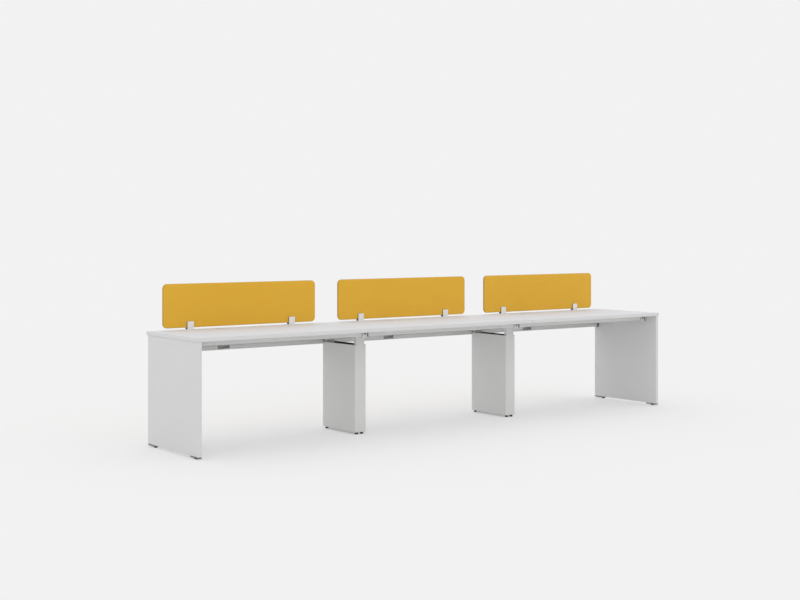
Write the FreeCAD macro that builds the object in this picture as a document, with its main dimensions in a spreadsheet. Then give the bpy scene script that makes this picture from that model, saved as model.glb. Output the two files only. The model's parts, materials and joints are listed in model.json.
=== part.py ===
"""Three-seat bench desk: three tops in a row on two end panels and two boxed mid legs.

The desk stands on the floor at Z = 0 with its middle at the origin. X runs along the row, Y runs from the
sitting side to the screens, and Z is up. All sizes are in millimetres.
"""
import FreeCAD, Part
import os
import re
from math import cos, pi, sin

import Sketcher

BAYS = 3
LEGS = BAYS - 1
SIDES = (("left", -1), ("right", 1))

# The size that a sketch is roughed out at before its formulas move its corners.
ROUGH = 1.0

# Driving dimensions, one cell of the sheet each.
SIZES = {
    # tops
    "bay_pitch": 1400,
    "top_depth": 700,
    "top_thickness": 25,
    "desk_height": 750,
    "top_joint": 1,
    "top_edge_round": 1,
    # end panels
    "panel_thickness": 25,
    "panel_inset": 4,
    "panel_rear_inset": 14,
    "panel_edge_round": 3,
    # beams and their end fittings
    "beam_setback": 120,
    "rear_beam_inset": 150,
    "beam_depth": 50,
    "beam_height": 38,
    "beam_wall": 2,
    "tube_corner": 3,
    "connector_length": 42,
    "connector_height": 48,
    "connector_round": 1.5,
    "gasket_thickness": 5,
    "tenon_length": 40,
    "spigot_length": 38,
    "spigot_depth": 36,
    "spigot_height": 20,
    "fit_gap": 0.4,
    "bracket_plate_thickness": 4,
    "bolt_diameter": 8,
    "bolt_head_diameter": 14,
    "bolt_head_height": 4,
    "bolt_bite": 12,
    # mid legs
    "leg_width": 91,
    "leg_setback": 244,
    "leg_rear_inset": 62,
    "leg_drop": 106,
    "leg_sheet": 1.5,
    "leg_corner": 1.2,
    "cover_return": 16,
    "post_width": 70,
    "post_depth": 30,
    "post_wall": 2,
    "crossbar_width": 50,
    "crossbar_wall": 2,
    "crossbar_rear_inset": 20,
    "crossbar_nose": 14,
    "foot_block_height": 20,
    "strip_thickness": 3,
    "strip_height": 14,
    "strip_cap": 1.5,
    # levelling feet
    "pad_height": 15,
    "pad_diameter": 24,
    "pad_bevel": 1.5,
    "stud_diameter": 8,
    "stud_length": 32,
    "stud_clearance": 0.1,
    "leg_foot_spacing": 44,
    "front_foot_inset": 50,
    "rear_foot_inset": 88,
    "foot_plate_length": 105,
    "foot_plate_thickness": 8,
    "foot_plate_inset": 1.5,
    "foot_sleeve_diameter": 13,
    "foot_sleeve_length": 18,
    # cable trays
    "tray_rear_inset": 10,
    "tray_depth": 48,
    "tray_drop": 120.5,
    "tray_lip": 29,
    "tray_back": 88,
    "tray_sheet": 1.5,
    "tray_end_gap": 3,
    "tray_leg_gap": 22,
    "end_cap_thickness": 2,
    "end_cap_skirt": 12,
    "hanger_width": 40,
    "hanger_flange": 34,
    "hanger_drop": 84,
    "hanger_sheet": 3,
    "hanger_end_distance": 180,
    "inlet_offset": 545,
    "inlet_width": 84,
    "inlet_depth": 20,
    "inlet_lap": 3,
    "inlet_cheek": 2,
    # screens and their brackets
    "screen_width": 1200,
    "screen_height": 293,
    "screen_thickness": 16,
    "screen_lift": 15,
    "screen_rear_inset": 27,
    "screen_corner": 32,
    "screen_edge_round": 4,
    "bracket_spacing": 800,
    "bracket_width": 48,
    "bracket_height": 56,
    "bracket_plate": 3.5,
    "bracket_base": 4,
    "bracket_round": 1,
    "bracket_pad_wall": 3,
    "bracket_pad_overhang": 1,
    "grub_diameter": 5,
    "grub_spacing": 24,
    "grub_height": 22,
    "grub_proud": 1,
    "bracket_bolt_diameter": 6,
    "bracket_bolt_head_diameter": 12,
    "bracket_bolt_head_height": 3.5,
    "bracket_bolt_bite": 3.5,
    "bracket_bolt_spacing": 28,
    # cable grommets
    "grommet_offset": 520,
    "grommet_rear_inset": 80,
    "grommet_hole": 80,
    "grommet_flange": 92,
    "grommet_flange_height": 2,
    "grommet_sleeve_wall": 3,
    "grommet_sleeve_length": 20,
    "grommet_ledge": 3,
    "cap_thickness": 3.5,
    "cap_clearance": 0.3,
    "cap_edge_bevel": 0.8,
    "slot_width": 30,
    "slot_depth": 16,
    # wood screws
    "screw_diameter": 4.5,
    "screw_head_diameter": 9,
    "screw_head_height": 2.5,
    "screw_bite": 15,
    "screw_clearance": 0.2,
    "top_screw_end_distance": 250,
    "hanger_screw_spacing": 20,
    "plate_screw_spacing": 26,
    "plate_screw_edge": 8,
    # how far a cutting tool runs past what it cuts
    "overrun": 5,
}

# Places that follow from the driving dimensions, written in their aliases.
PLACES = {
    "desk_end": f"bay_pitch * {BAYS} / 2",
    "front_edge": "-top_depth / 2",
    "rear_edge": "top_depth / 2",
    "underside": "desk_height - top_thickness",
    "panel_outer": "desk_end - panel_inset",
    "panel_inner": "panel_outer - panel_thickness",
    "panel_front": "front_edge + panel_inset",
    "panel_depth": "top_depth - panel_inset - panel_rear_inset",
    "panel_back": "panel_front + panel_depth",
    "foot_plate_bottom": "pad_height - foot_plate_thickness",
    "beam_front": "front_edge + beam_setback",
    "rear_beam_front": "rear_edge - rear_beam_inset - beam_depth",
    "crossbar_front": "beam_front - crossbar_nose",
    "beam_bottom": "underside - beam_height",
    "beam_middle": "beam_bottom + beam_height / 2",
    "connector_bottom": "underside - connector_height",
    "leg_front": "front_edge + leg_setback",
    "leg_height": "underside - leg_drop",
    "leg_depth": "top_depth - leg_setback - leg_rear_inset",
    "leg_back": "rear_edge - leg_rear_inset",
    "front_post_y": "leg_front + leg_sheet",
    "rear_post_y": "leg_back - leg_sheet - post_depth",
    "tray_rear": "rear_edge - tray_rear_inset",
    "tray_front": "tray_rear - tray_depth",
    "tray_bottom": "underside - tray_drop",
    "screen_back": "rear_edge - screen_rear_inset",
    "screen_front": "screen_back - screen_thickness",
    "screen_bottom": "desk_height + screen_lift",
    "bracket_pad_front": "screen_front - bracket_pad_wall",
    "bracket_pad_back": "screen_back + bracket_pad_wall",
    "bracket_front": "bracket_pad_front - bracket_plate",
    "bracket_inside": "bracket_pad_wall * 2 + screen_thickness",
    "grommet_y": "rear_edge - grommet_rear_inset",
    "sleeve_radius": "grommet_hole / 2 - fit_gap",
    "sleeve_bore": "sleeve_radius - grommet_sleeve_wall",
    "cap_seat": "desk_height + grommet_flange_height - cap_thickness",
}

doc = FreeCAD.newDocument("bench_desk")
sheet = doc.addObject("Spreadsheet::Sheet", "sizes")
for row, (alias, number) in enumerate(SIZES.items(), start=1):
    sheet.set(f"A{row}", alias)
    sheet.set(f"B{row}", str(number))
    sheet.setAlias(f"B{row}", alias)
doc.recompute()

nodes = {}


def formula(text):
    """Spell out a formula in the sheet's aliases, with each derived place in brackets."""
    def spell(match):
        word = match.group(0)
        if word in PLACES:
            return f"({formula(PLACES[word])})"
        return f"sizes.{word}" if word in SIZES else word
    return re.sub(r"[a-z][a-z_]*", spell, text)


def put(piece, place):
    """Bind the X, Y and Z of a piece's placement."""
    for axis, text in zip("xyz", place):
        piece.setExpression(f"Placement.Base.{axis}", formula(text))
    return piece


def keep(name, piece):
    """Make a piece a sub-part of the desk, under its own label."""
    piece.Label = name
    nodes[name] = piece
    return piece


def box(name, sides, place):
    """A block of the given X, Y and Z sides with its low corner at the place."""
    block = doc.addObject("Part::Box", name)
    for side, text in zip(("Length", "Width", "Height"), sides):
        block.setExpression(side, formula(text))
    return put(block, place)


AXIS_TURNS = {
    "+Z": FreeCAD.Rotation(),
    "+X": FreeCAD.Rotation(FreeCAD.Vector(0, 1, 0), 90),
    "-X": FreeCAD.Rotation(FreeCAD.Vector(0, 1, 0), -90),
    "+Y": FreeCAD.Rotation(FreeCAD.Vector(1, 0, 0), -90),
}


def rod(name, diameter, length, place, axis="+Z"):
    """A round bar that starts at the place and runs along the axis."""
    bar = doc.addObject("Part::Cylinder", name)
    bar.Placement = FreeCAD.Placement(FreeCAD.Vector(), AXIS_TURNS[axis])
    bar.setExpression("Radius", formula(f"({diameter}) / 2"))
    bar.setExpression("Height", formula(length))
    return put(bar, place)


def group(name, pieces):
    """Several separate solids in one object."""
    together = doc.addObject("Part::Compound", name)
    together.Links = pieces
    return together


def fuse(name, pieces):
    """Pieces joined where they touch."""
    joined = doc.addObject("Part::MultiFuse", name)
    joined.Shapes = pieces
    return joined


def cut(name, base, tools):
    """A piece with all the tools taken out of it."""
    result = doc.addObject("Part::Cut", name)
    result.Base = base
    result.Tool = tools[0] if len(tools) == 1 else group(f"{name}_tools", tools)
    return result


def draw(body, role, loops):
    """A sketch on one of the body's planes, with every corner of every loop bound to two formulas."""
    sketch = body.newObject("Sketcher::SketchObject", f"{body.Name}_sketch")
    plane = next(feature for feature in body.Origin.OriginFeatures if feature.Role == role)
    sketch.AttachmentSupport = (plane, [""])
    sketch.MapMode = "FlatFace"
    for corners in loops:
        first = sketch.GeometryCount
        count = len(corners)
        turns = [2 * pi * k / count for k in range(count)]
        rough = [FreeCAD.Vector(ROUGH * cos(turn), ROUGH * sin(turn), 0) for turn in turns]
        for start, end in zip(rough, rough[1:] + rough[:1]):
            sketch.addGeometry(Part.LineSegment(start, end), False)
        for k, corner in enumerate(corners):
            before = first + (k - 1) % count
            sketch.addConstraint(Sketcher.Constraint("Coincident", before, 2, first + k, 1))
            for kind, text in zip(("DistanceX", "DistanceY"), corner):
                held = sketch.addConstraint(Sketcher.Constraint(kind, -1, 1, first + k, 1, ROUGH))
                sketch.setExpression(f"Constraints[{held}]", formula(text))
    return sketch


def rectangle(width, height, margin="0"):
    """The corners of a rectangle, drawn in from its outline by a margin."""
    left, right = margin, f"{width} - {margin}"
    low, high = margin, f"{height} - {margin}"
    return [(left, low), (right, low), (right, high), (left, high)]


def extrusion(name, role, loops, length, place):
    """A body padded from loops on a plane: XY towards +Z, YZ towards +X, XZ towards +Y."""
    body = doc.addObject("PartDesign::Body", name)
    pad = body.newObject("PartDesign::Pad", f"{name}_pad")
    pad.Profile = draw(body, role, loops)
    pad.setExpression("Length", formula(length))
    pad.Reversed = role == "XZ_Plane"
    body.Tip = pad
    return put(body, place)


def turning(name, corners, place):
    """A body turned about its own Z axis from corners given as radius and height."""
    body = doc.addObject("PartDesign::Body", name)
    turn = body.newObject("PartDesign::Revolution", f"{name}_turn")
    sketch = draw(body, "XZ_Plane", [corners])
    turn.Profile = sketch
    turn.ReferenceAxis = (sketch, ["V_Axis"])
    body.Tip = turn
    return put(body, place)


def rounded(body, radius, chosen):
    """Round those edges of a body's newest feature that the test picks."""
    doc.recompute()
    base = body.Tip
    bounds = base.Shape.BoundBox
    edges = [f"Edge{k}" for k, edge in enumerate(base.Shape.Edges, start=1) if chosen(edge, bounds)]
    fillet = body.newObject("PartDesign::Fillet", f"{body.Name}_round_{len(body.Group)}")
    fillet.Base = (base, edges)
    fillet.setExpression("Radius", formula(radius))
    body.Tip = fillet
    return body


def runs_along(edge, axis):
    """Whether an edge is straight and lies along X, Y or Z."""
    along = getattr(edge.BoundBox, f"{axis}Length")
    return edge.Curve.TypeId == "Part::GeomLine" and abs(edge.Length - along) < 1e-6 * edge.Length


def at_corner(edge, bounds, axis):
    """Whether an edge along the axis lies on the outermost corner of the bounds."""
    def outermost(other):
        place = getattr(edge.CenterOfMass, other.lower())
        sides = (getattr(bounds, f"{other}Min"), getattr(bounds, f"{other}Max"))
        return min(abs(place - side) for side in sides) < 1e-6 * bounds.DiagonalLength
    return runs_along(edge, axis) and all(outermost(other) for other in "XYZ".replace(axis, ""))


def tube(name, role, width, height, wall, length, place):
    """A rectangular tube with rounded outer corners."""
    loops = [rectangle(width, height), rectangle(width, height, wall)]
    body = extrusion(name, role, loops, length, place)
    axis = {"XY_Plane": "Z", "YZ_Plane": "X", "XZ_Plane": "Y"}[role]
    return rounded(body, "tube_corner", lambda edge, bounds: at_corner(edge, bounds, axis))


def bay_left(bay):
    """Where a bay starts along X."""
    return f"(bay_pitch * {bay - BAYS / 2})"


def leg_middle(leg):
    """Where the middle of a mid leg is along X: on the line between two bays."""
    return bay_left(leg + 1)


def bay_inner_ends(bay):
    """Where a bay's beams are held along X: on a panel's bracket plate or the side of a leg's crossbar."""
    low = f"{leg_middle(bay - 1)} + crossbar_width / 2" if bay else "-panel_inner + bracket_plate_thickness"
    last = bay == BAYS - 1
    high = "panel_inner - bracket_plate_thickness" if last else f"{leg_middle(bay)} - crossbar_width / 2"
    return low, high


def beam_lines():
    """The two lines of beams, as a name and the Y of their front faces."""
    return (("front", "beam_front"), ("rear", "rear_beam_front"))


def bracket_middles(bay):
    """Where the middles of a screen's two brackets are along X."""
    middle = f"{bay_left(bay)} + bay_pitch / 2"
    return [f"{middle} - bracket_spacing / 2", f"{middle} + bracket_spacing / 2"]


def bracket_bolt_places(bay):
    """Where a screen's bracket bolts stand on the top, as X formulas."""
    return [f"{x} + bracket_bolt_spacing * {side} / 2" for x in bracket_middles(bay) for side in (-1, 1)]


def hanger_middles(bay):
    """Where a tray's hangers are along X: one near each end and one in the middle of the bay."""
    left = bay_left(bay)
    ends = [f"{left} + hanger_end_distance", f"{left} + bay_pitch - hanger_end_distance"]
    return [ends[0], f"{left} + bay_pitch / 2", ends[1]]


def hanger_screw_places(bay):
    """Where the screws of a tray's hangers enter the top, as X formulas."""
    return [f"{x} + hanger_screw_spacing * {side} / 2" for x in hanger_middles(bay) for side in (-1, 1)]


HANGER_SCREW_Y = "tray_rear - tray_sheet - hanger_flange / 2 - hanger_sheet"
BRACKET_BOLT_Y = "screen_front + screen_thickness / 2"


def top_screw_places(bay):
    """Where screws come up through a bay's beams into its top, as X and Y formulas."""
    left = bay_left(bay)
    ends = (f"{left} + top_screw_end_distance", f"{left} + bay_pitch - top_screw_end_distance")
    return [(x, f"{front} + beam_depth / 2") for x in ends for _, front in beam_lines()]


def make_tops():
    """One top for each bay, with rounded edges, a grommet hole and holes for what is screwed to it."""
    for bay in range(BAYS):
        name = f"desktop_{bay + 1}"
        left_joint = "top_joint / 2" if bay else "0"
        right_joint = "0" if bay == BAYS - 1 else "top_joint / 2"
        width = f"bay_pitch - {left_joint} - {right_joint}"
        place = (f"{bay_left(bay)} + {left_joint}", "front_edge", "underside")
        outline = rectangle(width, "top_depth")
        board = extrusion(f"{name}_board", "XY_Plane", [outline], "top_thickness", place)
        rounded(board, "top_edge_round", lambda edge, bounds: True)
        under = "underside - overrun"
        through = "top_thickness + overrun * 2"
        pilot = "screw_diameter + screw_clearance * 2"
        depth = "screw_bite + screw_clearance + overrun"
        grommet_x = f"{bay_left(bay)} + grommet_offset"
        holes = [rod(f"{name}_grommet_hole", "grommet_hole", through, (grommet_x, "grommet_y", under))]
        for k, x in enumerate(bracket_bolt_places(bay)):
            size = "bracket_bolt_diameter + screw_clearance * 2"
            holes.append(rod(f"{name}_bolt_hole_{k}", size, through, (x, BRACKET_BOLT_Y, under)))
        for k, x in enumerate(hanger_screw_places(bay)):
            holes.append(rod(f"{name}_hanger_hole_{k}", pilot, depth, (x, HANGER_SCREW_Y, under)))
        for k, (x, y) in enumerate(top_screw_places(bay)):
            holes.append(rod(f"{name}_screw_hole_{k}", pilot, depth, (x, y, under)))
        keep(name, cut(f"{name}_cut", board, holes))


def panel_foot_places():
    """Where the feet of an end panel stand along Y and where their plates start, with a name for each."""
    rear_plate = "panel_back - foot_plate_inset - foot_plate_length"
    return (("front", "panel_front + front_foot_inset", "panel_front + foot_plate_inset"),
            ("rear", "panel_back - rear_foot_inset", rear_plate))


def plate_screw_places(front):
    """Where a beam bracket's screws enter its panel along Y."""
    return [f"{front} + beam_depth / 2 + plate_screw_spacing * {side} / 2" for side in (-1, 1)]


def make_end_panels():
    """The two end panels under the outer tops, their foot plates and the plates that hold the beams."""
    foot_plates = []
    plates = []
    height = "underside - pad_height"
    for side, way in SIDES:
        name = f"{side}_end_panel"
        low_x = "-panel_outer" if way < 0 else "panel_inner"
        middle_x = f"(panel_outer - panel_thickness / 2) * {way}"
        place = (low_x, "panel_front", "pad_height")
        outline = rectangle("panel_thickness", "panel_depth")
        board = extrusion(f"{name}_board", "XY_Plane", [outline], height, place)
        rounded(board, "panel_edge_round", lambda edge, bounds: True)
        holes = []
        for end, y, plate_y in panel_foot_places():
            bore = (middle_x, y, "pad_height - overrun")
            size = "foot_sleeve_diameter + fit_gap * 2"
            holes.append(rod(f"{name}_{end}_sleeve_hole", size, "foot_sleeve_length + overrun", bore))
            room = "stud_diameter + fit_gap * 2"
            holes.append(rod(f"{name}_{end}_stud_hole", room, "stud_length + overrun * 2", bore))
            start = (f"{low_x} + foot_plate_inset", plate_y, "foot_plate_bottom")
            foot_plates.append(foot_plate(f"{name}_{end}", (middle_x, y), start))
        for line, front in beam_lines():
            plates.append(beam_plate(f"{name}_{line}", way, front))
            for k, y in enumerate(plate_screw_places(front)):
                mouth = (f"(panel_inner - overrun) * {way}", y, "connector_bottom + plate_screw_edge")
                size = "screw_diameter + screw_clearance * 2"
                length = "screw_bite + screw_clearance + overrun"
                axis = "+X" if way > 0 else "-X"
                holes.append(rod(f"{name}_{line}_screw_hole_{k}", size, length, mouth, axis))
        keep(name, cut(f"{name}_cut", board, holes))
    keep("panel_foot_plates", group("panel_foot_plates", foot_plates))
    keep("beam_plates", group("beam_plates", plates))


def foot_plate(name, foot, start):
    """A plate under the end of a panel, with a tapped sleeve up into the board for the foot's stud."""
    sides = ("panel_thickness - foot_plate_inset * 2", "foot_plate_length", "foot_plate_thickness")
    plate = box(f"{name}_foot_plate", sides, start)
    sleeve = rod(f"{name}_sleeve", "foot_sleeve_diameter", "foot_sleeve_length", (*foot, "pad_height"))
    tapped = "stud_diameter + stud_clearance * 2"
    through = "foot_plate_thickness + foot_sleeve_length + overrun * 2"
    thread = rod(f"{name}_thread", tapped, through, (*foot, "foot_plate_bottom - overrun"))
    whole = fuse(f"{name}_foot_plate_whole", [plate, sleeve])
    return cut(f"{name}_foot_plate_cut", whole, [thread])


def spigot(name, face, way, front):
    """A block that stands out from a face along X and carries a beam's end fitting."""
    low = face if way > 0 else f"{face} - spigot_length"
    y = f"{front} + (beam_depth - spigot_depth) / 2"
    corner = (low, y, "beam_middle - spigot_height / 2")
    return box(name, ("spigot_length", "spigot_depth", "spigot_height"), corner)


def bolted_end(way):
    """Whether a beam's end is bolted: the right one is, and the left one only plugs in."""
    return way < 0


def bolt_x(face, way):
    """Where the bolt of a beam's end fitting is along X, from the face that the beam is held on."""
    return f"{face} + (gasket_thickness + connector_length / 2) * {way}"


def bolt_hole(name, face, way, front):
    """The hole in a spigot for the end fitting's bolt, open at the spigot's front."""
    start = (bolt_x(face, way), f"{front} + (beam_depth - spigot_depth) / 2 - overrun", "beam_middle")
    return rod(name, "bolt_diameter + fit_gap", "bolt_bite + overrun + fit_gap", start, "+Y")


def beam_plate(name, way, front):
    """A plate on an end panel's inner face with a spigot for the beam and sunk screw heads."""
    low = f"panel_inner * {way}" if way < 0 else "panel_inner - bracket_plate_thickness"
    sides = ("bracket_plate_thickness", "beam_depth", "connector_height")
    plate = box(f"{name}_plate", sides, (low, front, "connector_bottom"))
    face = f"(panel_inner - bracket_plate_thickness) * {way}"
    block = spigot(f"{name}_spigot", face, -way, front)
    holes = [bolt_hole(f"{name}_plate_bolt_hole", face, -way, front)] if bolted_end(-way) else []
    axis = "+X" if way > 0 else "-X"
    for k, y in enumerate(plate_screw_places(front)):
        start = (f"{face} - overrun * {way}", y, "connector_bottom + plate_screw_edge")
        size = "screw_diameter + screw_clearance * 2"
        through = "bracket_plate_thickness + overrun * 2"
        holes.append(rod(f"{name}_plate_hole_{k}", size, through, start, axis))
        size = "screw_head_diameter + screw_clearance * 2"
        holes.append(rod(f"{name}_plate_sink_{k}", size, "screw_head_height + overrun", start, axis))
    whole = fuse(f"{name}_plate_whole", [plate, block])
    return cut(f"{name}_plate_cut", whole, holes)


def make_beams():
    """A front and a rear beam in each bay, the fittings at their ends and the bolts and gaskets of those."""
    connectors = []
    bolts = []
    gaskets = []
    for bay in range(BAYS):
        low, high = bay_inner_ends(bay)
        reach = "gasket_thickness * 2 + connector_length"
        for line, front in beam_lines():
            name = f"{line}_beam_{bay + 1}"
            length = f"({high}) - ({low}) - ({reach}) * 2"
            place = (f"{low} + {reach}", front, "beam_bottom")
            bar = tube(f"{name}_tube", "YZ_Plane", "beam_depth", "beam_height", "beam_wall", length, place)
            holes = []
            for k, (x, y) in enumerate(top_screw_places(bay)):
                if front in y.split():
                    start = (x, y, "beam_bottom - overrun")
                    size = "screw_diameter + screw_clearance * 2"
                    holes.append(rod(f"{name}_hole_{k}", size, "beam_height + overrun * 2", start))
            keep(name, cut(f"{name}_cut", bar, holes))
            for end, face, way in (("left", low, 1), ("right", high, -1)):
                connectors.append(connector(f"{name}_{end}", face, way, front))
                if bolted_end(way):
                    bolts += connector_bolt(f"{name}_{end}", face, way, front)
                    gaskets += connector_gaskets(f"{name}_{end}", face, way, front)
    keep("beam_connectors", group("beam_connectors", connectors))
    keep("connector_bolts", fuse("connector_bolts", bolts))
    keep("joint_gaskets", group("joint_gaskets", gaskets))


def span(face, way, start, length):
    """The low X of a stretch of a beam line, counted from the face that the beam is held on."""
    return f"{face} + {start}" if way > 0 else f"{face} - ({start}) - ({length})"


def connector_gaskets(name, face, way, front):
    """The gaskets at both ends of a beam's end fitting: one round the spigot and one round the tenon."""
    place = (span(face, way, "0", "gasket_thickness"), front, "beam_bottom")
    across = "(beam_depth - spigot_depth) / 2 - fit_gap"
    rise = "(beam_height - spigot_height) / 2 - fit_gap"
    left, right = across, f"beam_depth - ({across})"
    low, high = rise, f"beam_height - ({rise})"
    mouth = [(left, low), (right, low), (right, high), (left, high)]
    loops = [rectangle("beam_depth", "beam_height"), mouth]
    inner = extrusion(f"{name}_inner_gasket", "YZ_Plane", loops, "gasket_thickness", place)
    rounded(inner, "tube_corner", lambda edge, bounds: at_corner(edge, bounds, "X"))
    beyond = "gasket_thickness + connector_length"
    place = (span(face, way, beyond, "gasket_thickness"), front, "beam_bottom")
    outer = tube(f"{name}_outer_gasket", "YZ_Plane", "beam_depth", "beam_height", "beam_wall",
                 "gasket_thickness", place)
    return [inner, outer]


def connector(name, face, way, front):
    """A beam's end fitting: a block over the spigot with a tenon into the tube.

    A bolted one stands between two gaskets and reaches below the beam. A plain one has the beam's outline.
    """
    start, length = "0", "gasket_thickness * 2 + connector_length"
    height, bottom = "beam_height", "beam_bottom"
    if bolted_end(way):
        start, length = "gasket_thickness", "connector_length"
        height, bottom = "connector_height", "connector_bottom"
    place = (span(face, way, start, length), front, bottom)
    block = extrusion(f"{name}_block", "YZ_Plane", [rectangle("beam_depth", height)], length, place)
    rounded(block, "connector_round", lambda edge, bounds: True)
    inner_depth = "beam_depth - beam_wall * 2 - fit_gap * 2"
    inner_height = "beam_height - beam_wall * 2 - fit_gap * 2"
    rooted = "gasket_thickness + tenon_length + connector_round * 2"
    tenon_start = "gasket_thickness + connector_length - connector_round * 2"
    room = "beam_wall + fit_gap"
    corner = (span(face, way, tenon_start, rooted), f"{front} + {room}", f"beam_bottom + {room}")
    tenon = box(f"{name}_tenon", (rooted, inner_depth, inner_height), corner)
    pocket_length = "spigot_length + fit_gap + overrun"
    sides = (pocket_length, "spigot_depth + fit_gap * 2", "spigot_height + fit_gap * 2")
    corner = (span(face, way, "-overrun", pocket_length),
              f"{front} + (beam_depth - spigot_depth) / 2 - fit_gap",
              "beam_middle - spigot_height / 2 - fit_gap")
    pocket = box(f"{name}_pocket", sides, corner)
    rooms = [pocket]
    if bolted_end(way):
        mouth = (bolt_x(face, way), f"{front} - overrun", "beam_middle")
        size = "bolt_diameter + fit_gap"
        rooms.append(rod(f"{name}_bore", size, "beam_depth / 2 + overrun", mouth, "+Y"))
    whole = fuse(f"{name}_whole", [block, tenon])
    return cut(f"{name}_connector", whole, rooms)


def connector_bolt(name, face, way, front):
    """The bolt through a fitting's front wall into the spigot: a shank and a low head."""
    x = bolt_x(face, way)
    length = "(beam_depth - spigot_depth) / 2 + bolt_bite"
    shank = rod(f"{name}_bolt_shank", "bolt_diameter", length, (x, front, "beam_middle"), "+Y")
    head = rod(f"{name}_bolt_head", "bolt_head_diameter", "bolt_head_height",
               (x, f"{front} - bolt_head_height", "beam_middle"), "+Y")
    return [shank, head]


def leg_foot_places(leg):
    """Where the feet of a mid leg stand, as a name with X and Y formulas."""
    ends = (("front", "front_post_y"), ("rear", "rear_post_y"))
    return [(f"{end}_{side}", f"{leg_middle(leg)} + leg_foot_spacing * {way} / 2", f"{y} + post_depth / 2")
            for end, y in ends for side, way in SIDES]


def make_legs():
    """Two boxed mid legs: a frame of two posts and a crossbar inside a folded shell with a rear cover."""
    blocks = []
    strips = []
    for leg in range(LEGS):
        name = f"leg_{leg + 1}"
        middle = leg_middle(leg)
        make_shell(name, middle)
        for end, y in (("front", "front_post_y"), ("rear", "rear_post_y")):
            corner = (f"{middle} - post_width / 2", y, "pad_height")
            post = tube(f"{name}_{end}_post", "XY_Plane", "post_width", "post_depth", "post_wall",
                        "beam_bottom - pad_height", corner)
            keep(f"{name}_{end}_post", post)
            blocks.append(foot_block(f"{name}_{end}", leg, y))
        make_crossbar(name, middle)
        strips += [edge_strip(f"{name}_{side}_strip", middle, way) for side, way in SIDES]
    keep("foot_blocks", group("foot_blocks", blocks))
    keep("leg_edge_strips", group("leg_edge_strips", strips))


def edge_strip(name, middle, way):
    """An edging on the top of one side of a leg's shell, which keeps cables off the sheet's edge."""
    outer, wall = f"leg_width * {way} / 2", f"leg_sheet * {way}"
    inner = f"{outer} - {wall} - strip_thickness * {way}"
    skirt = "strip_height"
    top = f"{skirt} + strip_cap"
    section = [(outer, skirt), (outer, top), (inner, top), (inner, "0"), (f"{outer} - {wall}", "0"),
               (f"{outer} - {wall}", skirt)]
    length = "leg_depth - leg_sheet * 2 - cover_return - fit_gap"
    place = (middle, "leg_front + leg_sheet", "leg_height - strip_height")
    return extrusion(name, "XZ_Plane", [section], length, place)


def make_shell(name, middle):
    """A leg's folded shell, open at the back and the top, and the clipped-on cover that closes its back."""
    wall = "leg_sheet"
    depth = "leg_depth - leg_sheet"
    section = [("0", "0"), ("leg_width", "0"), ("leg_width", depth), (f"leg_width - {wall}", depth),
               (f"leg_width - {wall}", wall), (wall, wall), (wall, depth), ("0", depth)]
    corner = (f"{middle} - leg_width / 2", "leg_front", "pad_height")
    height = "leg_height - pad_height"
    shell = extrusion(f"{name}_shell", "XY_Plane", [section], height, corner)

    def front_corner(edge, bounds):
        return at_corner(edge, bounds, "Z") and edge.CenterOfMass.y < bounds.Center.y
    keep(f"{name}_shell", rounded(shell, "leg_corner", front_corner))
    inset = "leg_sheet + fit_gap"
    web = f"{inset} + leg_sheet"
    deep = "cover_return + leg_sheet"
    folded = [("0", "cover_return"), (inset, "cover_return"), (inset, "0"), (web, "0"),
              (web, "cover_return"), (f"leg_width - ({web})", "cover_return"), (f"leg_width - ({web})", "0"),
              (f"leg_width - ({inset})", "0"), (f"leg_width - ({inset})", "cover_return"),
              ("leg_width", "cover_return"), ("leg_width", deep), ("0", deep)]
    back = (f"{middle} - leg_width / 2", "leg_back - leg_sheet - cover_return", "pad_height")
    keep(f"{name}_rear_cover", extrusion(f"{name}_rear_cover", "XY_Plane", [folded], height, back))


def foot_block(name, leg, y):
    """The block inside a post's bottom end, with a tapped hole for each foot."""
    sides = ("post_width - post_wall * 2", "post_depth - post_wall * 2", "foot_block_height")
    corner = (f"{leg_middle(leg)} - post_width / 2 + post_wall", f"{y} + post_wall", "pad_height")
    block = box(f"{name}_foot_block", sides, corner)
    threads = []
    for place, foot_x, foot_y in leg_foot_places(leg):
        if foot_y.startswith(y):
            start = (foot_x, foot_y, "pad_height - overrun")
            size = "stud_diameter + stud_clearance * 2"
            length = "foot_block_height + overrun * 2"
            threads.append(rod(f"{name}_{place}_thread", size, length, start))
    return cut(f"{name}_foot_block_cut", block, threads)


def make_crossbar(name, middle):
    """A leg's crossbar: a tube along Y with a closed front end and a spigot for each of its beams."""
    length = "rear_edge - crossbar_rear_inset - crossbar_front"
    corner = (f"{middle} - crossbar_width / 2", "crossbar_front", "beam_bottom")
    bar = tube(f"{name}_bar", "XZ_Plane", "crossbar_width", "beam_height", "crossbar_wall", length, corner)
    end_sides = ("crossbar_width - crossbar_wall", "crossbar_wall", "beam_height - crossbar_wall")
    end_corner = (f"{middle} - crossbar_width / 2 + crossbar_wall / 2", "crossbar_front",
                  "beam_bottom + crossbar_wall / 2")
    end = box(f"{name}_bar_end", end_sides, end_corner)
    parts = [bar, end]
    holes = []
    for line, front in beam_lines():
        for side, way in SIDES:
            face = f"{middle} + crossbar_width * {way} / 2"
            parts.append(spigot(f"{name}_{line}_{side}_spigot", face, way, front))
            if bolted_end(way):
                holes.append(bolt_hole(f"{name}_{line}_{side}_bolt_hole", face, way, front))
    whole = fuse(f"{name}_crossbar_whole", parts)
    keep(f"{name}_crossbar", cut(f"{name}_crossbar", whole, holes))


def tray_ends(bay):
    """Where a bay's tray starts and ends along X."""
    low = f"{bay_left(bay)} + tray_leg_gap" if bay else "-panel_inner + tray_end_gap"
    last = bay == BAYS - 1
    high = "panel_inner - tray_end_gap" if last else f"{bay_left(bay + 1)} - tray_leg_gap"
    return low, high


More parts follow.
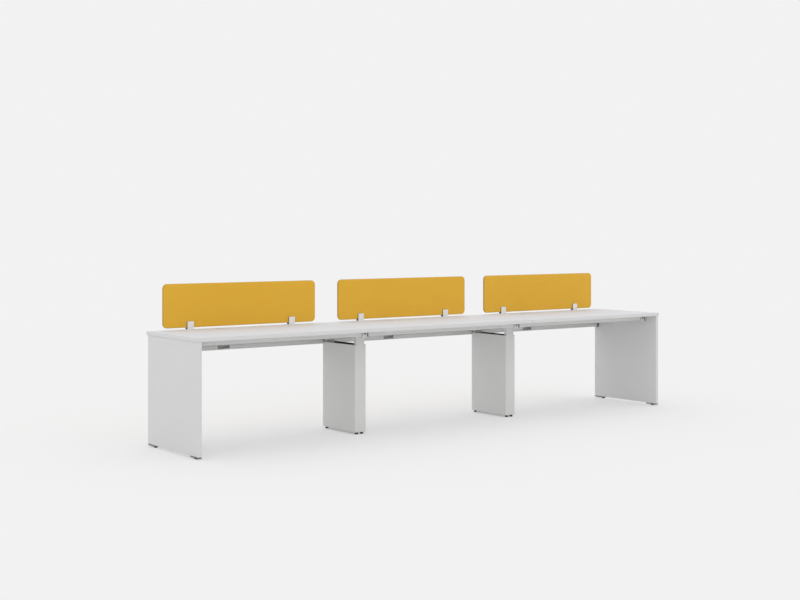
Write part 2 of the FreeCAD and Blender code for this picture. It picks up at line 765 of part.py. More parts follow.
def make_trays():
    """A folded cable tray at the back of each bay, hung from the top, with end caps and an inlet."""
    caps = []
    inlets = []
    hangers = []
    for bay in range(BAYS):
        name = f"cable_tray_{bay + 1}"
        low, high = tray_ends(bay)
        wall = "tray_sheet"
        inner = f"tray_depth - {wall}"
        section = [("0", "0"), ("tray_depth", "0"), ("tray_depth", "tray_back"), (inner, "tray_back"),
                   (inner, wall), (wall, wall), (wall, "tray_lip"), ("0", "tray_lip")]
        channel = extrusion(f"{name}_channel", "YZ_Plane", [section], f"({high}) - ({low})",
                            (low, "tray_front", "tray_bottom"))
        lip_z = "tray_bottom + tray_lip"
        middle = f"{bay_left(bay)} + inlet_offset"
        notch = box(f"{name}_notch", ("inlet_width", "tray_sheet + overrun * 2", "inlet_depth + overrun"),
                    (f"{middle} - inlet_width / 2", "tray_front - overrun", f"{lip_z} - inlet_depth"))
        tray = keep(name, cut(f"{name}_cut", channel, [notch]))
        inlets.append(inlet(f"inlet_{bay + 1}", middle, lip_z, tray))
        for k, x in enumerate(hanger_middles(bay)):
            hangers.append(hanger(f"hanger_{bay + 1}_{k}", x))
        caps += [end_cap(f"{name}_left_cap", low, 1), end_cap(f"{name}_right_cap", high, -1)]
    keep("tray_end_caps", group("tray_end_caps", caps))
    keep("tray_inlets", group("tray_inlets", inlets))
    keep("tray_hangers", group("tray_hangers", hangers))


def end_cap(name, end, way):
    """A tray's end cap: a plate on the end and a skirt back along the tray's front lip and bottom."""
    wall = "end_cap_thickness"
    corner = f"-{wall}"
    skirt = [(corner, corner), ("tray_depth", corner), ("tray_depth", "0"), ("0", "0"), ("0", "tray_lip"),
             (corner, "tray_lip")]
    place = (span(end, way, "0", "end_cap_skirt"), "tray_front", "tray_bottom")
    sleeve = extrusion(f"{name}_skirt", "YZ_Plane", [skirt], "end_cap_skirt", place)
    sides = (wall, f"tray_depth + {wall}", f"tray_lip + {wall}")
    place = (span(end, -way, "0", wall), f"tray_front - {wall}", f"tray_bottom - {wall}")
    return fuse(f"{name}_whole", [sleeve, box(f"{name}_plate", sides, place)])


def inlet(name, middle, lip_z, tray):
    """A U-shaped plastic edging round the notch in a tray's front wall, which it grips on both faces."""
    thick = "tray_sheet + inlet_cheek * 2"
    outer = box(f"{name}_outer", ("inlet_width + inlet_lap * 2", thick, "inlet_depth + inlet_lap"),
                (f"{middle} - inlet_width / 2 - inlet_lap", "tray_front - inlet_cheek",
                 f"{lip_z} - inlet_depth - inlet_lap"))
    sides = ("inlet_width - inlet_lap * 2", f"{thick} + overrun * 2", "inlet_depth + overrun")
    corner = (f"{middle} - inlet_width / 2 + inlet_lap", "tray_front - inlet_cheek - overrun",
              f"{lip_z} - inlet_depth + inlet_lap")
    mouth = box(f"{name}_mouth", sides, corner)
    frame = cut(f"{name}_frame", outer, [mouth])
    return cut(f"{name}_edging", frame, [tray])


def hanger(name, x):
    """An angle that hangs a tray from the top: a drilled flange and a leg on the tray's back wall."""
    sheet_z = "hanger_drop - hanger_sheet"
    wide = "hanger_flange + hanger_sheet"
    section = [("hanger_flange", "0"), (wide, "0"), (wide, "hanger_drop"), ("0", "hanger_drop"),
               ("0", sheet_z), ("hanger_flange", sheet_z)]
    corner = (f"{x} - hanger_width / 2", f"tray_rear - tray_sheet - ({wide})", "underside - hanger_drop")
    angle = extrusion(f"{name}_angle", "YZ_Plane", [section], "hanger_width", corner)
    holes = []
    for side in (-1, 1):
        across = f"{x} + hanger_screw_spacing * {side} / 2"
        start = (across, HANGER_SCREW_Y, "underside - hanger_sheet - overrun")
        size = "screw_diameter + screw_clearance * 2"
        holes.append(rod(f"{name}_hole_{side + 1}", size, "hanger_sheet + overrun * 2", start))
    return cut(f"{name}_cut", angle, holes)


def make_screens():
    """A screen behind each seat, held in two lined forks that are bolted to the top from below."""
    forks = []
    pads = []
    grubs = []
    bolts = []
    for bay in range(BAYS):
        middle = f"{bay_left(bay)} + bay_pitch / 2"
        corner = (f"{middle} - screen_width / 2", "screen_front", "screen_bottom")
        panel = extrusion(f"screen_{bay + 1}", "XZ_Plane", [rectangle("screen_width", "screen_height")],
                          "screen_thickness", corner)
        rounded(panel, "screen_corner", lambda edge, bounds: runs_along(edge, "Y"))
        rounded(panel, "screen_edge_round", lambda edge, bounds: not runs_along(edge, "Y"))
        keep(f"screen_{bay + 1}", panel)
        for end, x in zip(("left", "right"), bracket_middles(bay)):
            name = f"screen_{bay + 1}_{end}"
            forks.append(fork(name, x))
            pads.append(fork_pad(f"{name}_pad", x))
            for side in (-1, 1):
                across = f"{x} + grub_spacing * {side} / 2"
                start = (across, "bracket_pad_back", "screen_bottom + grub_height")
                length = "bracket_plate + grub_proud"
                grubs.append(rod(f"{name}_grub_{side + 1}", "grub_diameter", length, start, "+Y"))
        for k, x in enumerate(bracket_bolt_places(bay)):
            length = "top_thickness + bracket_bolt_bite"
            start = (x, BRACKET_BOLT_Y, "underside")
            bolts.append(rod(f"bracket_bolt_{bay}_{k}", "bracket_bolt_diameter", length, start))
            length = "bracket_bolt_head_height"
            start = (x, BRACKET_BOLT_Y, "underside - bracket_bolt_head_height")
            bolts.append(rod(f"bracket_bolt_{bay}_{k}_head", "bracket_bolt_head_diameter", length, start))
    keep("screen_brackets", group("screen_brackets", forks))
    keep("bracket_pads", group("bracket_pads", pads))
    keep("grub_screws", group("grub_screws", grubs))
    keep("bracket_bolts", fuse("bracket_bolts", bolts))


def channel(wall, inside, floor, height):
    """The corners of a U that is open at the top, with two walls, the room between them and a floor."""
    inner = f"{wall} + {inside}"
    outer = f"{inner} + {wall}"
    return [("0", "0"), (outer, "0"), (outer, height), (inner, height), (inner, floor), (wall, floor),
            (wall, height), ("0", height)]


def fork_pad(name, x):
    """The pad between a fork and its screen: a thick floor and thin walls, a little wider than the fork."""
    height = "bracket_height - bracket_base"
    section = channel("bracket_pad_wall", "screen_thickness", "screen_lift - bracket_base", height)
    wide = "bracket_width + bracket_pad_overhang * 2"
    corner = (f"{x} - ({wide}) / 2", "bracket_pad_front", "desk_height + bracket_base")
    return extrusion(name, "YZ_Plane", [section], wide, corner)


def fork(name, x):
    """A screen bracket: a base with two upright plates, tapped for two grub screws and two bolts."""
    section = channel("bracket_plate", "bracket_inside", "bracket_base", "bracket_height")
    corner = (f"{x} - bracket_width / 2", "bracket_front", "desk_height")
    body = extrusion(f"{name}_fork", "YZ_Plane", [section], "bracket_width", corner)
    rounded(body, "bracket_round", lambda edge, bounds: at_corner(edge, bounds, "Y"))
    holes = []
    for side in (-1, 1):
        grub = (f"{x} + grub_spacing * {side} / 2", "bracket_pad_back", "screen_bottom + grub_height")
        size = "grub_diameter + screw_clearance"
        holes.append(rod(f"{name}_grub_hole_{side + 1}", size, "bracket_plate + overrun", grub, "+Y"))
        bolt = (f"{x} + bracket_bolt_spacing * {side} / 2", BRACKET_BOLT_Y, "desk_height - overrun")
        size = "bracket_bolt_diameter + screw_clearance"
        depth = "bracket_bolt_bite + screw_clearance + overrun"
        holes.append(rod(f"{name}_bolt_hole_{side + 1}", size, depth, bolt))
    return cut(f"{name}_fork_cut", body, holes)


def make_grommets():
    """A cable grommet in each top: a flanged liner and a cap that turns in it, with a slot for cables."""
    for bay in range(BAYS):
        x = f"{bay_left(bay)} + grommet_offset"
        seat = "grommet_sleeve_length + grommet_flange_height - cap_thickness"
        ledge_bottom = f"{seat} - grommet_ledge"
        foot = "grommet_sleeve_length"
        rim = f"{foot} + grommet_flange_height"
        ledge = "sleeve_bore - grommet_ledge"
        corners = [("sleeve_bore", "0"), ("sleeve_radius", "0"), ("sleeve_radius", foot),
                   ("grommet_flange / 2", foot), ("grommet_flange / 2 - cap_edge_bevel", rim),
                   ("sleeve_bore", rim), ("sleeve_bore", seat), (ledge, seat), (ledge, ledge_bottom),
                   ("sleeve_bore", ledge_bottom)]
        liner = turning(f"grommet_liner_{bay + 1}", corners, (x, "grommet_y", f"desk_height - {foot}"))
        keep(f"grommet_liner_{bay + 1}", liner)
        edge = "sleeve_bore - cap_clearance"
        disc = [("0", "0"), (edge, "0"), (edge, "cap_thickness - cap_edge_bevel"),
                (f"{edge} - cap_edge_bevel", "cap_thickness"), ("0", "cap_thickness")]
        cap = turning(f"grommet_disc_{bay + 1}", disc, (x, "grommet_y", "cap_seat"))
        sides = ("slot_width", "slot_depth + overrun", "cap_thickness + overrun * 2")
        corner = (f"{x} - slot_width / 2", f"grommet_y + {edge} - slot_depth", "cap_seat - overrun")
        slot = box(f"grommet_slot_{bay + 1}", sides, corner)
        keep(f"grommet_cap_{bay + 1}", cut(f"grommet_cap_{bay + 1}", cap, [slot]))


def foot(name, x, y, height):
    """A levelling foot, screwed right in: a round pad of that height on the floor and a stud above it."""
    pad = "pad_diameter / 2"
    stud = "stud_diameter / 2"
    top = f"{height} + stud_length"
    corners = [("0", "0"), (f"{pad} - pad_bevel", "0"), (pad, "pad_bevel"), (pad, height), (stud, height),
               (stud, top), ("0", top)]
    keep(name, turning(name, corners, (x, y, "0")))


def make_feet():
    """The levelling feet under the foot plates of the panels and under the posts of the legs."""
    for side, way in SIDES:
        middle_x = f"(panel_outer - panel_thickness / 2) * {way}"
        for end, y, _ in panel_foot_places():
            foot(f"{side}_panel_{end}_foot", middle_x, y, "foot_plate_bottom")
    for leg in range(LEGS):
        for place, x, y in leg_foot_places(leg):
            foot(f"leg_{leg + 1}_{place}_foot", x, y, "pad_height")


def make_wood_screws():
    """The wood screws: up through beams and hangers into the tops, and through plates into the panels."""
    pieces = []

    def screw(name, head, length, axis, way):
        """A head that starts at the given place and a shank that runs on from it along the axis."""
        x, y, z = head
        sunk = f"screw_head_height * {way}"
        shank = (f"{x} + {sunk}", y, z) if "X" in axis else (x, y, f"{z} + {sunk}")
        pieces.append(rod(f"{name}_head", "screw_head_diameter", "screw_head_height", head, axis))
        pieces.append(rod(f"{name}_shank", "screw_diameter", length, shank, axis))

    for bay in range(BAYS):
        for k, (x, y) in enumerate(top_screw_places(bay)):
            head = (x, y, "beam_bottom - screw_head_height")
            screw(f"top_screw_{bay}_{k}", head, "beam_height + screw_bite", "+Z", 1)
        for k, x in enumerate(hanger_screw_places(bay)):
            head = (x, HANGER_SCREW_Y, "underside - hanger_sheet - screw_head_height")
            screw(f"hanger_screw_{bay}_{k}", head, "hanger_sheet + screw_bite", "+Z", 1)
    for side, way in SIDES:
        axis = "+X" if way > 0 else "-X"
        for line, front in beam_lines():
            for k, y in enumerate(plate_screw_places(front)):
                face = f"(panel_inner - bracket_plate_thickness) * {way}"
                length = "bracket_plate_thickness - screw_head_height + screw_bite"
                screw(f"plate_screw_{side}_{line}_{k}", (face, y, "connector_bottom + plate_screw_edge"),
                      length, axis, way)
    keep("wood_screws", fuse("wood_screws", pieces))


def check_and_write():
    """Recompute, stop on any failed object or bad shape, and write one file for each sub-part."""
    doc.recompute()
    failed = [item.Label for item in doc.Objects if {"Invalid", "Error"} & set(item.State)]
    bad = [name for name, piece in nodes.items() if piece.Shape.isNull() or not piece.Shape.isValid()]
    if failed or bad:
        raise RuntimeError(f"failed objects {failed}, bad shapes {bad}")
    os.makedirs("parts", exist_ok=True)
    for name, piece in nodes.items():
        piece.Shape.exportStep(f"parts/{name}.step")
        print(f"{name}: {len(piece.Shape.Solids)} solids")


make_tops()
make_end_panels()
make_beams()
make_legs()
make_trays()
make_screens()
make_grommets()
make_feet()
make_wood_screws()
check_and_write()
print(f"{len(nodes)} sub-parts")
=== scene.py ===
"""Looks of the three-seat bench desk: white boards and steel, ochre cloth screens and small fittings."""
import json
import math

import bpy
import numpy as np
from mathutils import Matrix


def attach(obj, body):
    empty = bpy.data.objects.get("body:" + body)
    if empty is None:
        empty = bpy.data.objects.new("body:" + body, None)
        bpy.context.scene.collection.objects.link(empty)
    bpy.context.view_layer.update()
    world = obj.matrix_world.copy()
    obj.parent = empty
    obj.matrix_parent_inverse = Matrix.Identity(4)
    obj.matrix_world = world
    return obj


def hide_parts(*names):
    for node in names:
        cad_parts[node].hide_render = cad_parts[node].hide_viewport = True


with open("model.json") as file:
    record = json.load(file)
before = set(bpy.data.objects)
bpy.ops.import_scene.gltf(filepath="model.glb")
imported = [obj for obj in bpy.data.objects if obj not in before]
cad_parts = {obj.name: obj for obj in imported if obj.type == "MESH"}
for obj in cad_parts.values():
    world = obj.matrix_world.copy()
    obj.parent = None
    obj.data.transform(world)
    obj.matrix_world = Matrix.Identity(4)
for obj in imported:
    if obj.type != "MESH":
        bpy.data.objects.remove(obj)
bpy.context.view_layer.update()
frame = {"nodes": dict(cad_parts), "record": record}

scene = bpy.context.scene
nodes = frame["nodes"]


# Shader building blocks

FLOAT, COLOUR = "NodeSocketFloat", "NodeSocketColor"
NOISE_MIDDLE = 0.5
MOTTLE_DETAIL = 4.0
GRAIN_DETAIL = 2.0
GRAIN_STRENGTH = 0.3
YARN_DETAIL = 3.0
YARN_SCALE = 260.0
# Share of the weave's painted light and shade: lighter thread crowns, darker gaps between threads.
THREAD_SHADE_SHARE = 0.10
CLOTH_ROUGHNESS = 0.88
CLOTH_DRIFT = 0.06
CLOTH_CLOUD_SCALE = 9.0
CLOTH_SHEEN = 0.15
CLOTH_SPECULAR = 0.2
CLOTH_STRENGTH = 0.5
CLOTH_DEPTH = 0.0003


def add(tree, kind, **settings):
    """A shader node of that kind in a tree, with some of its properties set."""
    node = tree.nodes.new(kind)
    for key, value in settings.items():
        setattr(node, key, value)
    return node


def new_group(name, inputs, outputs):
    """An empty shader group with the named sockets, given as name to (type, default)."""
    tree = bpy.data.node_groups.new(name, "ShaderNodeTree")
    for label, (kind, default) in inputs.items():
        socket = tree.interface.new_socket(label, in_out="INPUT", socket_type=kind)
        socket.default_value = default
    for label, kind in outputs.items():
        tree.interface.new_socket(label, in_out="OUTPUT", socket_type=kind)
    return tree, add(tree, "NodeGroupInput"), add(tree, "NodeGroupOutput")


def math_node(tree, operation, first, second=None):
    """The result of a math node on sockets or plain numbers."""
    node = add(tree, "ShaderNodeMath", operation=operation)
    for socket, value in zip(node.inputs, (first, second)):
        if value is None:
            continue
        if isinstance(value, bpy.types.NodeSocket):
            tree.links.new(value, socket)
        else:
            socket.default_value = value
    return node.outputs[0]


def mottle_group():
    """Soft cloudy variation: a colour that drifts by a share, and a roughness that drifts with it."""
    inputs = {"Color": (COLOUR, (0.8, 0.8, 0.8, 1)), "Share": (FLOAT, 0.04), "Scale": (FLOAT, 6.0),
              "Roughness": (FLOAT, 0.5), "Roughness drift": (FLOAT, 0.08)}
    tree, source, sink = new_group("soft_mottle", inputs, {"Color": COLOUR, "Roughness": FLOAT})
    place = add(tree, "ShaderNodeTexCoord")
    noise = add(tree, "ShaderNodeTexNoise", noise_dimensions="3D")
    noise.inputs["Detail"].default_value = MOTTLE_DETAIL
    tree.links.new(place.outputs["Object"], noise.inputs["Vector"])
    tree.links.new(source.outputs["Scale"], noise.inputs["Scale"])
    drift = math_node(tree, "SUBTRACT", noise.outputs["Fac"], NOISE_MIDDLE)
    gain = math_node(tree, "MULTIPLY", drift, source.outputs["Share"])
    tint = math_node(tree, "ADD", gain, 1.0)
    scaled = add(tree, "ShaderNodeVectorMath", operation="SCALE")
    tree.links.new(source.outputs["Color"], scaled.inputs[0])
    tree.links.new(tint, scaled.inputs["Scale"])
    tree.links.new(scaled.outputs["Vector"], sink.inputs["Color"])
    rub = math_node(tree, "MULTIPLY", drift, source.outputs["Roughness drift"])
    tree.links.new(math_node(tree, "ADD", rub, source.outputs["Roughness"]), sink.inputs["Roughness"])
    return tree


def grain_group():
    """Fine bumps with a number of cells to the metre, drawn out across Z: the height for a bump node."""
    inputs = {"Scale": (FLOAT, 900.0), "Stretch": (FLOAT, 1.0)}
    tree, source, sink = new_group("fine_grain", inputs, {"Height": FLOAT})
    place = add(tree, "ShaderNodeTexCoord")
    parts = add(tree, "ShaderNodeSeparateXYZ")
    joined = add(tree, "ShaderNodeCombineXYZ")
    tree.links.new(place.outputs["Object"], parts.inputs[0])
    for axis in "XY":
        tree.links.new(parts.outputs[axis], joined.inputs[axis])
    stretched = math_node(tree, "MULTIPLY", parts.outputs["Z"], source.outputs["Stretch"])
    tree.links.new(stretched, joined.inputs["Z"])
    noise = add(tree, "ShaderNodeTexNoise", noise_dimensions="3D")
    noise.inputs["Detail"].default_value = GRAIN_DETAIL
    tree.links.new(joined.outputs[0], noise.inputs["Vector"])
    tree.links.new(source.outputs["Scale"], noise.inputs["Scale"])
    tree.links.new(noise.outputs["Fac"], sink.inputs["Height"])
    return tree


def weave_group():
    """Plain weave on an upright cloth: threads along X and Z pass over and under, with mixed yarns."""
    inputs = {"Color": (COLOUR, (0.6, 0.35, 0.05, 1)), "Thread": (FLOAT, 0.0016),
              "Yarn share": (FLOAT, 0.25)}
    tree, source, sink = new_group("plain_weave", inputs, {"Color": COLOUR, "Height": FLOAT})
    place = add(tree, "ShaderNodeTexCoord")
    parts = add(tree, "ShaderNodeSeparateXYZ")
    tree.links.new(place.outputs["Object"], parts.inputs[0])
    waves = []
    for axis in "XZ":
        count = math_node(tree, "DIVIDE", parts.outputs[axis], source.outputs["Thread"])
        waves.append(math_node(tree, "SINE", math_node(tree, "MULTIPLY", count, math.pi)))
    crossing = math_node(tree, "MULTIPLY", waves[0], waves[1])
    noise = add(tree, "ShaderNodeTexNoise", noise_dimensions="3D")
    noise.inputs["Scale"].default_value = YARN_SCALE
    noise.inputs["Detail"].default_value = YARN_DETAIL
    tree.links.new(place.outputs["Object"], noise.inputs["Vector"])
    yarn = math_node(tree, "SUBTRACT", noise.outputs["Fac"], NOISE_MIDDLE)
    mixed = math_node(tree, "MULTIPLY", yarn, source.outputs["Yarn share"])
    # Painted highlight on the thread crowns and painted shade between the threads: the colour rises with the
    # size of the crossing, and sits lower by half the share where the threads part.
    crown_highlight = math_node(tree, "MULTIPLY", math_node(tree, "ABSOLUTE", crossing), THREAD_SHADE_SHARE)
    tint = math_node(tree, "ADD", math_node(tree, "ADD", mixed, crown_highlight), 1 - THREAD_SHADE_SHARE / 2)
    scaled = add(tree, "ShaderNodeVectorMath", operation="SCALE")
    tree.links.new(source.outputs["Color"], scaled.inputs[0])
    tree.links.new(tint, scaled.inputs["Scale"])
    tree.links.new(scaled.outputs["Vector"], sink.inputs["Color"])
    tree.links.new(crossing, sink.inputs["Height"])
    return tree


MOTTLE, GRAIN, WEAVE = mottle_group(), grain_group(), weave_group()


def blank_material(name, roughness, metallic=0.0):
    """A material with one principled shader, and its tree and shader."""
    material = bpy.data.materials.new(name)
    material.use_nodes = True
    tree = material.node_tree
    shader = tree.nodes["Principled BSDF"]
    shader.inputs["Roughness"].default_value = roughness
    shader.inputs["Metallic"].default_value = metallic
    return material, tree, shader


def use_group(tree, group, **values):
    """A group node with some of its inputs set, named with underscores for spaces."""
    node = add(tree, "ShaderNodeGroup", node_tree=group)
    for key, value in values.items():
        node.inputs[key.replace("_", " ")].default_value = value
    return node


def bump(tree, shader, height, strength, distance):
    """Bumps on a shader from a height."""
    node = add(tree, "ShaderNodeBump")
    node.inputs["Strength"].default_value = strength
    node.inputs["Distance"].default_value = distance
    tree.links.new(height, node.inputs["Height"])
    tree.links.new(node.outputs["Normal"], shader.inputs["Normal"])


def face_colour(tree, edge, face, height):
    """The colour of a board: one for its edges, and another for its face at or above a height."""
    place = add(tree, "ShaderNodeTexCoord")
    parts = add(tree, "ShaderNodeSeparateXYZ")
    tree.links.new(place.outputs["Object"], parts.inputs[0])
    mix = add(tree, "ShaderNodeMix", data_type="RGBA")
    tree.links.new(math_node(tree, "GREATER_THAN", parts.outputs["Z"], height), mix.inputs["Factor"])
    sides = [socket for socket in mix.inputs if socket.type == "RGBA"]
    for socket, colour in zip(sides, (edge, face)):
        socket.default_value = (*colour, 1)
    return next(socket for socket in mix.outputs if socket.type == "RGBA")


def surface(name, colour, roughness, metallic=0.0, share=0.03, scale=6.0, grain=900.0, depth=0.00002,
            stretch=1.0, specular=0.5, face=None):
    """A solid finish: mottled colour and roughness over fine bumps.

    A face, where given, is another colour and the least height at which it shows.
    """
    material, tree, shader = blank_material(name, roughness, metallic)
    shader.inputs["Specular IOR Level"].default_value = specular
    cloud = use_group(tree, MOTTLE, Color=(*colour, 1), Share=share, Scale=scale, Roughness=roughness)
    if face:
        tree.links.new(face_colour(tree, colour, *face), cloud.inputs["Color"])
    tree.links.new(cloud.outputs["Color"], shader.inputs["Base Color"])
    tree.links.new(cloud.outputs["Roughness"], shader.inputs["Roughness"])
    fine = use_group(tree, GRAIN, Scale=grain, Stretch=stretch)
    bump(tree, shader, fine.outputs["Height"], GRAIN_STRENGTH, depth)
    return material


def cloth(name, colour):
    """Cloth: a plain weave in slightly uneven dye, with a soft sheen."""
    material, tree, shader = blank_material(name, CLOTH_ROUGHNESS)
    cloud = use_group(tree, MOTTLE, Color=(*colour, 1), Share=CLOTH_DRIFT, Scale=CLOTH_CLOUD_SCALE,
                      Roughness=CLOTH_ROUGHNESS)
    weave = use_group(tree, WEAVE)
    tree.links.new(cloud.outputs["Color"], weave.inputs["Color"])
    tree.links.new(cloud.outputs["Roughness"], shader.inputs["Roughness"])
    tree.links.new(weave.outputs["Color"], shader.inputs["Base Color"])
    shader.inputs["Sheen Weight"].default_value = CLOTH_SHEEN
    shader.inputs["Specular IOR Level"].default_value = CLOTH_SPECULAR
    bump(tree, shader, weave.outputs["Height"], CLOTH_STRENGTH, CLOTH_DEPTH)
    return material


# Finishes, by the record's material slots

LAMINATE = {"colour": (0.70, 0.70, 0.70), "roughness": 0.6, "grain": 500.0, "specular": 0.1}

MATERIALS = {
    "white_laminate": surface("white_laminate_finish", **LAMINATE),
    "white_paint": surface("white_paint_finish", (0.70, 0.70, 0.693), 0.55, grain=1400.0, depth=0.00005,
                           specular=0.25),
    "screen_fabric": cloth("ochre_cloth", (0.79, 0.446, 0.041)),
    "bracket_metal": surface("satin_aluminium", (0.86, 0.86, 0.85), 0.38, 1.0, grain=300.0, stretch=12.0),
    "light_plastic": surface("light_plastic_finish", (0.62, 0.62, 0.61), 0.45),
    # Black plastic for the feet and small parts; on the joint gaskets it is painted shade, dark plates
    # filling the shadow gaps at the beam joints.
    "black_plastic": surface("black_plastic_and_painted_shade", (0.03, 0.03, 0.03), 0.5),
    "grey_plastic": surface("grey_plastic_finish", (0.30, 0.30, 0.30), 0.5),
    "black_steel": surface("black_steel_finish", (0.14, 0.14, 0.14), 0.45, scale=60.0, share=0.2),
    "zinc_steel": surface("zinc_finish", (0.62, 0.62, 0.62), 0.35, 1.0, scale=40.0, share=0.1),
}

# The tops have a cooler white on their upper faces than on their edges: a painted cool tint that cancels the
# warm reflection of the ochre screens on the tops.
TOPS = ("desktop_1", "desktop_2", "desktop_3")
TOP_PAINTED_COOL_TINT = (0.69, 0.703, 0.737)
TOP_COOL_TINT_HEIGHT = 0.7495
TOP_LAMINATE_PAINTED_COOL = surface("top_laminate_painted_cool", **LAMINATE, face=(TOP_PAINTED_COOL_TINT, TOP_COOL_TINT_HEIGHT))

for row in frame["record"]["subparts"]:
    mesh = nodes[row["node"]].data
    mesh.materials.clear()
    mesh.materials.append(TOP_LAMINATE_PAINTED_COOL if row["node"] in TOPS else MATERIALS[row["material_slot"]])


# Upholstered screens, in metres

SCREENS = ("screen_1", "screen_2", "screen_3")
SCREEN_CORNER = 0.032
PADDING_REACH = 0.007
PADDING_FALL = 0.0035
SEAM_DEPTH = 0.0011
SEAM_WIDTH = 0.0014
FACE_INSETS = (0.029, 0.022, 0.016)
RIM_REACH = 0.002
ROLL_STEPS = 9
RIM_STEPS = 15
ARC_STEPS = 13
SIDE_STEPS = 24


# The rim is a darker ochre than the faces: a darker copy of the cloth, painted shade on the screens' sides.
RIM_SHADE_CLOTH = cloth("ochre_rim_painted_shade", (0.44, 0.25, 0.025))


def node_box(node):
    """The middle and half sides of a node.

    They are half the sum and half the difference of its greatest and least places.
    """
    places = np.empty(len(node.data.vertices) * 3)
    node.data.vertices.foreach_get("co", places)
    places = places.reshape(-1, 3)
    low, high = places.min(axis=0), places.max(axis=0)
    return (low + high) / 2, (high - low) / 2


def cover_section(half_thickness):
    """A cover's section from its front face over the rim to its back face, as inset from the rim and depth.

    The face is level, then falls away by a quarter of an ellipse towards the rim. Along the rim the inset is
    the seam's depth times e to the power of minus the square of the depth over the seam's width.
    """
    turn = np.linspace(0.0, np.pi / 2, ROLL_STEPS)
    roll_inset = PADDING_REACH * (1 - np.sin(turn))
    roll_depth = half_thickness - PADDING_FALL * (1 - np.cos(turn))
    rim_depth = np.linspace(roll_depth[-1], -roll_depth[-1], RIM_STEPS)[1:-1]
    rim_inset = SEAM_DEPTH * np.exp(-(rim_depth / SEAM_WIDTH) ** 2)
    face_depth = np.full(len(FACE_INSETS), half_thickness)
    inset = np.concatenate([FACE_INSETS, roll_inset, rim_inset, roll_inset[::-1], FACE_INSETS[::-1]])
    depth = np.concatenate([face_depth, roll_depth, rim_depth, -roll_depth[::-1], -face_depth])
    return inset, depth


def rounded_rings(half_width, half_height, inset):
    """Rings of X and Z round a rectangle with rounded corners, one ring for each inset.

    Each corner is a quarter circle about a fixed centre with the corner's radius less the inset. The points
    between two quarter circles lie evenly on the line from the end of one to the start of the next.
    """
    quarter = np.linspace(0.0, np.pi / 2, ARC_STEPS)
    angle = (quarter + np.pi / 2 * np.arange(4)[:, None]).ravel()
    right = np.repeat([1, -1, -1, 1], ARC_STEPS)
    upper = np.repeat([1, 1, -1, -1], ARC_STEPS)
    bend = SCREEN_CORNER - inset[:, None]
    x = right * (half_width - SCREEN_CORNER) + bend * np.cos(angle)
    z = upper * (half_height - SCREEN_CORNER) + bend * np.sin(angle)
    arc_ends = ARC_STEPS * np.arange(1, 5)[:, None] - 1
    shares = np.linspace(0.0, 1.0, SIDE_STEPS, endpoint=False)[1:]
    stops = np.sort(np.concatenate([np.arange(angle.size), (arc_ends + shares).ravel()]))
    before = stops.astype(int)
    after = (before + 1) % angle.size
    share = stops - before
    return tuple(line[:, before] * (1 - share) + line[:, after] * share for line in (x, z))


def screen_cover(node_name):
    """A padded cloth cover in a screen's place.

    Its section is carried round its outline, with a level face at each end. Where the insets are less than
    the rim's reach, it wears the darker rim cloth, painted shade on the screen's sides.
    """
    middle, half = node_box(nodes[node_name])
    inset, depth = cover_section(half[1])
    x, z = rounded_rings(half[0], half[2], inset)
    y = np.broadcast_to(-depth[:, None], x.shape)
    points = np.stack([x, y, z], axis=-1) + middle
    here = np.arange(x.size).reshape(x.shape)
    ahead = np.roll(here, -1, axis=1)
    quads = np.stack([here[:-1], here[1:], ahead[1:], ahead[:-1]], axis=-1).reshape(-1, 4)
    faces = quads.tolist() + [here[0].tolist(), here[-1][::-1].tolist()]
    mesh = bpy.data.meshes.new(f"{node_name}_cover")
    mesh.from_pydata(points.reshape(-1, 3).tolist(), [], faces)
    mesh.polygons.foreach_set("use_smooth", np.ones(len(faces), dtype=bool))
    mesh.materials.append(MATERIALS["screen_fabric"])
    mesh.materials.append(RIM_SHADE_CLOTH)
    # Faces within the rim's reach take the darker cloth: painted shade on the rim.
    rim = inset < RIM_REACH
    shaded_rim_faces = np.repeat(rim[:-1] & rim[1:], x.shape[1])
    mesh.polygons.foreach_set("material_index", np.append(shaded_rim_faces, [False, False]).astype(np.int32))
    mesh.update()
    cover = bpy.data.objects.new(f"{node_name}_cover", mesh)
    scene.collection.objects.link(cover)
    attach(cover, "desk")
    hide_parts(node_name)


for screen in SCREENS:
    screen_cover(screen)


# Stage, light and camera

BACKDROP = 0.888
HORIZON = 0.80
ZENITH_GAIN = 0.40
LIFT_SHARE = 0.38
FLOOR_ROUGHNESS = 0.9
FLOOR_REACH = 60.0
SENSOR_WIDTH = 36.0
LENS = 58.56
LENS_SHIFT = -0.0835
SIGHT_END = 200.0
CAMERA_PLACE = (-5.9712, -7.4370, 1.3938)
CAMERA_TURN = (math.radians(90.0), 0.0, -0.65385)

# A level face sees the sky weighted by height, so two thirds of the gain reach it.
OPEN_LIGHT = HORIZON + ZENITH_GAIN * 2 / 3


def seen_share(tree):
    """One for rays that show the backdrop: from the camera, off glossy faces and through clear ones."""
    path = add(tree, "ShaderNodeLightPath")
    kinds = ("Is Camera Ray", "Is Glossy Ray", "Is Transmission Ray")
    direct, mirrored, through = (path.outputs[kind] for kind in kinds)
    return math_node(tree, "MAXIMUM", direct, math_node(tree, "MAXIMUM", mirrored, through))


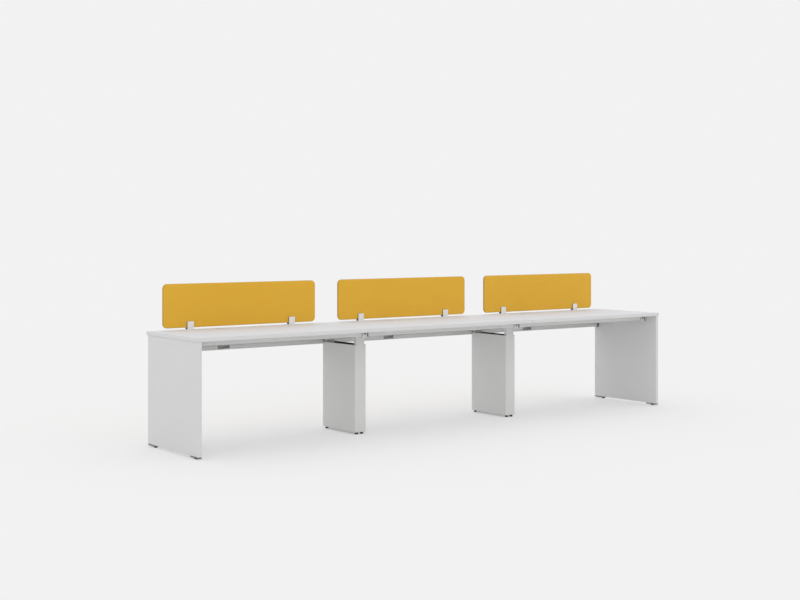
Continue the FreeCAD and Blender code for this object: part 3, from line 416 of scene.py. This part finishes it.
def floor_material():
    """A pale matt floor that shows as bright as the backdrop, with its shadows softened for the camera."""
    material, tree, shader = blank_material("studio_floor", FLOOR_ROUGHNESS)
    shader.inputs["Base Color"].default_value = (*[BACKDROP / OPEN_LIGHT] * 3, 1)
    shader.inputs["Specular IOR Level"].default_value = 0.0
    glow = add(tree, "ShaderNodeEmission")
    glow.inputs["Strength"].default_value = BACKDROP
    mix = add(tree, "ShaderNodeMixShader")
    tree.links.new(math_node(tree, "MULTIPLY", seen_share(tree), LIFT_SHARE), mix.inputs["Fac"])
    tree.links.new(shader.outputs[0], mix.inputs[1])
    tree.links.new(glow.outputs[0], mix.inputs[2])
    tree.links.new(mix.outputs[0], tree.nodes["Material Output"].inputs["Surface"])
    return material


floor_mesh = bpy.data.meshes.new("studio_floor")
floor_corners = [(x * FLOOR_REACH, y * FLOOR_REACH, 0) for x, y in ((-1, -1), (1, -1), (1, 1), (-1, 1))]
floor_mesh.from_pydata(floor_corners, [], [(0, 1, 2, 3)])
floor_mesh.materials.append(floor_material())
floor = bpy.data.objects.new("studio_floor", floor_mesh)
scene.collection.objects.link(floor)

world = bpy.data.worlds.new("studio")
scene.world = world
world.use_nodes = True
sky = world.node_tree
sky.nodes["Background"].inputs["Color"].default_value = (1.0, 1.0, 1.0, 1)
seen = seen_share(sky)
way = add(sky, "ShaderNodeTexCoord")
heights = add(sky, "ShaderNodeSeparateXYZ")
sky.links.new(way.outputs["Generated"], heights.inputs[0])
rise = math_node(sky, "MAXIMUM", heights.outputs["Z"], 0.0)
glow = math_node(sky, "ADD", math_node(sky, "MULTIPLY", rise, ZENITH_GAIN), HORIZON)
unseen = math_node(sky, "MULTIPLY", glow, math_node(sky, "SUBTRACT", 1.0, seen))
shown = math_node(sky, "MULTIPLY", seen, BACKDROP)
sky.links.new(math_node(sky, "ADD", unseen, shown), sky.nodes["Background"].inputs["Strength"])

scene.view_settings.view_transform = "Standard"

camera_data = bpy.data.cameras.new("photo_camera")
camera_data.sensor_width = SENSOR_WIDTH
camera_data.lens = LENS
camera_data.shift_y = LENS_SHIFT
camera_data.clip_end = SIGHT_END
camera = bpy.data.objects.new("photo_camera", camera_data)
camera.location = CAMERA_PLACE
camera.rotation_euler = CAMERA_TURN
scene.collection.objects.link(camera)
scene.camera = camera
